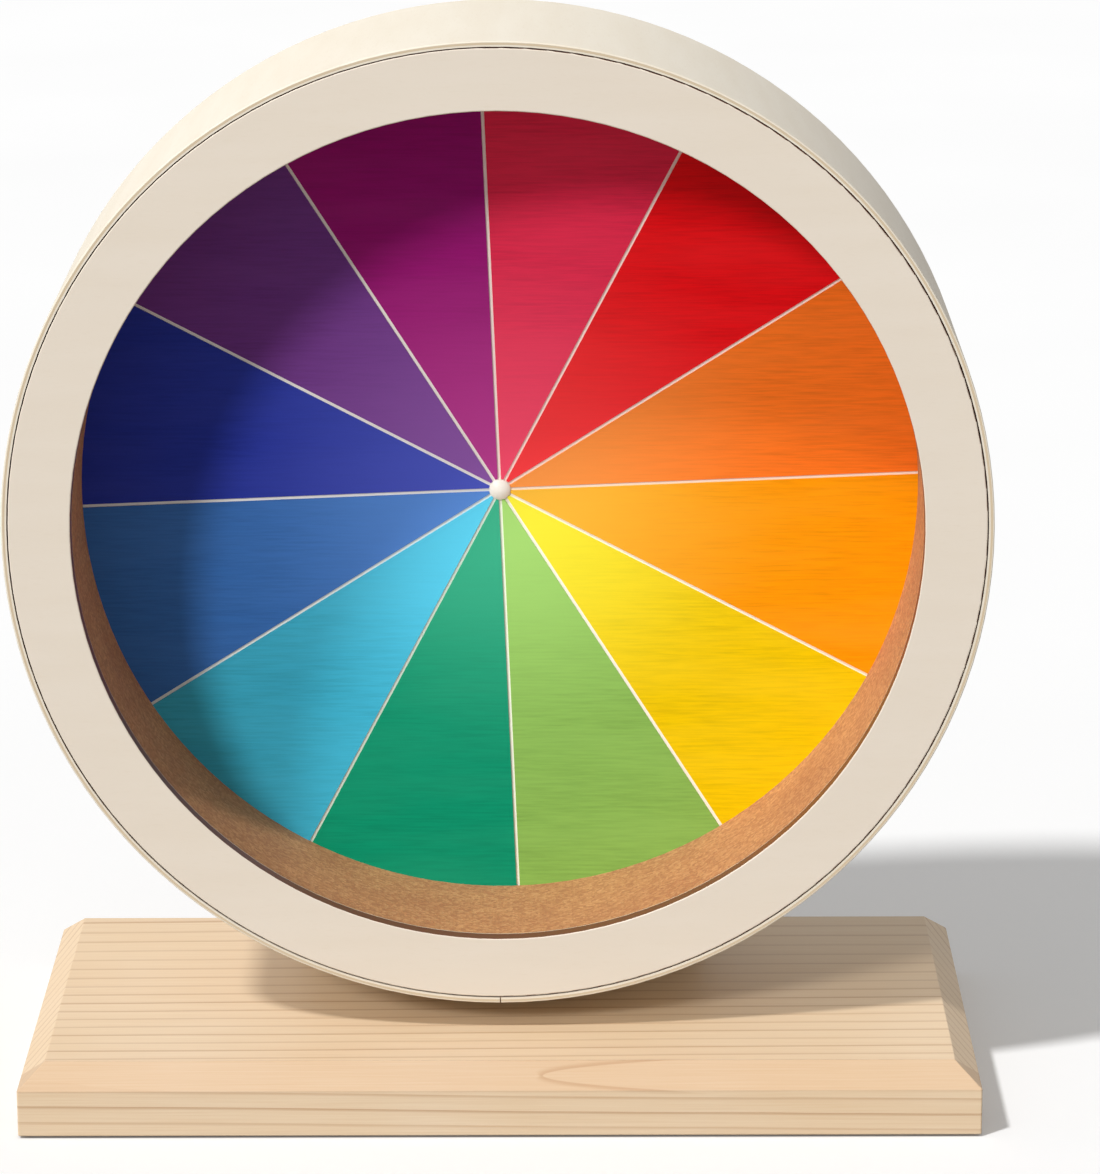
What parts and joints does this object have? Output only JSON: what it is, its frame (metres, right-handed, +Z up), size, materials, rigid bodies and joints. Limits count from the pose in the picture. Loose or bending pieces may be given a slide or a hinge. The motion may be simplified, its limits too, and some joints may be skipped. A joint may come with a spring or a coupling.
{
  "type": "wooden pet exercise wheel",
  "caption": "Wooden drum wheel with a coloured segmented back and cork running track, turning on ball bearings on a bevelled base with a rear upright.",
  "frame": {"origin": "centre of the box's underside: the floor under the middle of the base board", "axes": "+Z up, +Y from the drum's open front towards the upright, +X to the right seen from the front"},
  "size_m": [0.35, 0.1734, 0.3862],
  "materials": {
    "birch_plywood": "matte lacquered birch plywood",
    "birch_disc": "matte lacquered birch plywood, pale between the sectors",
    "track_plywood": "bent plywood, unfinished",
    "cork": "fine-grained brown cork, unfinished",
    "pine": "planed pine, clear matte oil",
    "beech": "turned beech, unfinished",
    "steel": "ground steel",
    "zinc_screw": "zinc-plated steel",
    "aluminium": "machined aluminium, satin",
    "bearing_steel": "polished bearing steel",
    "cage_nylon": "natural nylon",
    "cap_plastic": "cream moulded plastic, satin",
    "pad_rubber": "soft grey rubber, matte",
    "veneer_crimson": "stained veneer with fine horizontal brushing, satin",
    "veneer_red": "stained veneer with fine horizontal brushing, satin",
    "veneer_vermilion": "stained veneer with fine horizontal brushing, satin",
    "veneer_orange": "stained veneer with fine horizontal brushing, satin",
    "veneer_yellow": "stained veneer with fine horizontal brushing, satin",
    "veneer_lime": "stained veneer with fine horizontal brushing, satin",
    "veneer_green": "stained veneer with fine horizontal brushing, satin",
    "veneer_cyan": "stained veneer with fine horizontal brushing, satin",
    "veneer_blue": "stained veneer with fine horizontal brushing, satin",
    "veneer_indigo": "stained veneer with fine horizontal brushing, satin",
    "veneer_violet": "stained veneer with fine horizontal brushing, satin",
    "veneer_magenta": "stained veneer with fine horizontal brushing, satin"
  },
  "bodies": {
    "stand": {"base_board": "pine", "upright": "pine", "upright_dowels": "beech", "upright_screws": "zinc_screw", "bearing_housing": "aluminium", "housing_screws": "zinc_screw", "front_bearing_outer_race": "bearing_steel", "rear_bearing_outer_race": "bearing_steel", "front_bearing_shields": "steel", "rear_bearing_shields": "steel", "non_slip_pads": "pad_rubber"},
    "wheel": {"front_ring": "birch_plywood", "outer_skin": "birch_plywood", "skin_splice": "birch_plywood", "track_strip": "track_plywood", "cork_liner": "cork", "back_disc": "birch_disc", "rim_dowels": "beech", "rear_hoop": "birch_plywood", "hub_boss": "beech", "flange_coupling": "aluminium", "coupling_screws": "zinc_screw", "grub_screws": "steel", "axle_shaft": "steel", "hub_screw": "zinc_screw", "hub_cap": "cap_plastic", "front_collar": "aluminium", "inner_spacer": "aluminium", "rear_washer": "zinc_screw", "lock_nut": "zinc_screw", "front_bearing_inner_race": "bearing_steel", "rear_bearing_inner_race": "bearing_steel", "crimson_sector": "veneer_crimson", "red_sector": "veneer_red", "vermilion_sector": "veneer_vermilion", "orange_sector": "veneer_orange", "yellow_sector": "veneer_yellow", "lime_sector": "veneer_lime", "green_sector": "veneer_green", "cyan_sector": "veneer_cyan", "blue_sector": "veneer_blue", "indigo_sector": "veneer_indigo", "violet_sector": "veneer_violet", "magenta_sector": "veneer_magenta"},
    "front_ball_set": {"front_bearing_balls": "bearing_steel", "front_bearing_cage": "cage_nylon"},
    "rear_ball_set": {"rear_bearing_balls": "bearing_steel", "rear_bearing_cage": "cage_nylon"}
  },
  "joints": [
    {"name": "wheel_spin", "type": "hinge", "parent": "stand", "child": "wheel", "pos_m": [0, 0, 0.2113], "axis": [0, 1, 0], "continuous": true},
    {"name": "front_balls_roll", "type": "hinge", "parent": "stand", "child": "front_ball_set", "pos_m": [0, 0, 0.2113], "axis": [0, 1, 0], "continuous": true},
    {"name": "rear_balls_roll", "type": "hinge", "parent": "stand", "child": "rear_ball_set", "pos_m": [0, 0, 0.2113], "axis": [0, 1, 0], "continuous": true}
  ],
  "couplings": [
    {"joint": "front_balls_roll", "follows": "wheel_spin", "ratio": 0.3677},
    {"joint": "rear_balls_roll", "follows": "wheel_spin", "ratio": 0.3677}
  ]
}
